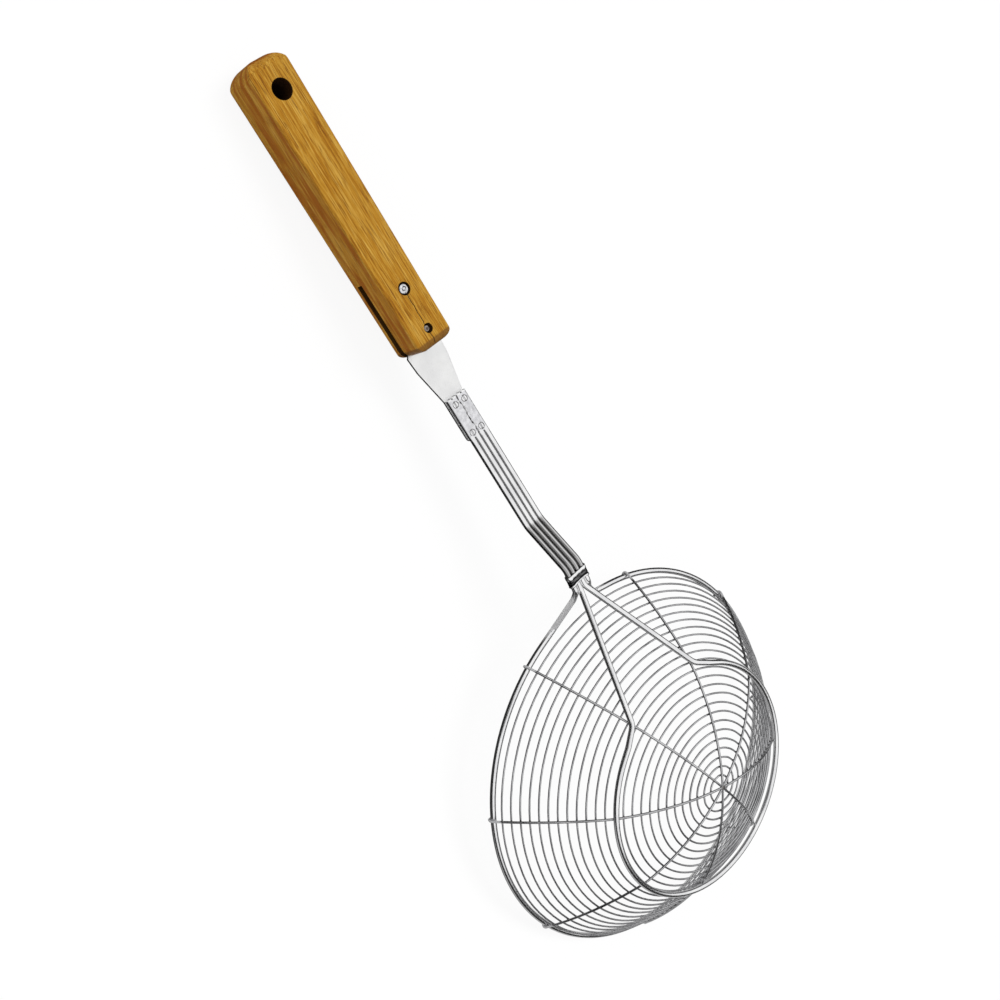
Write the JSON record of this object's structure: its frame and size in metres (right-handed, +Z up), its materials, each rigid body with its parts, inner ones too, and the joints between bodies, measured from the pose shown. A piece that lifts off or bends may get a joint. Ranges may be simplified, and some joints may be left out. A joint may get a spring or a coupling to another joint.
{
  "type": "spider skimmer",
  "caption": "Round bowl of spiral steel wire on hooked ribs, held by a flat wire shaft and a riveted bamboo handle with a hang hole, for lifting food out of hot liquid.",
  "frame": {"origin": "on the surface that the skimmer rests on, under the middle of its length, in its middle plane", "axes": "+X along the skimmer from the bowl towards the handle's butt, +Z up, out of the bowl's closed side: it lies face down on the rim's far side and the butt's lower edge"},
  "size_m": [0.4855, 0.1968, 0.0761],
  "materials": {
    "bamboo": "satin",
    "tang_steel": "satin",
    "wire_steel": "polished",
    "rivet_steel": "polished"
  },
  "bodies": {
    "root": {"handle": "bamboo", "tang": "tang_steel", "rivet_upper": "rivet_steel", "rivet_lower": "rivet_steel", "rim_wire": "wire_steel", "support_wire": "wire_steel", "neck_clip": "wire_steel", "spiral_wire": "wire_steel", "rib_wire_1": "wire_steel", "rib_wire_2": "wire_steel", "rib_wire_3": "wire_steel", "rib_wire_4": "wire_steel", "apex_weld": "wire_steel"}
  },
  "joints": []
}
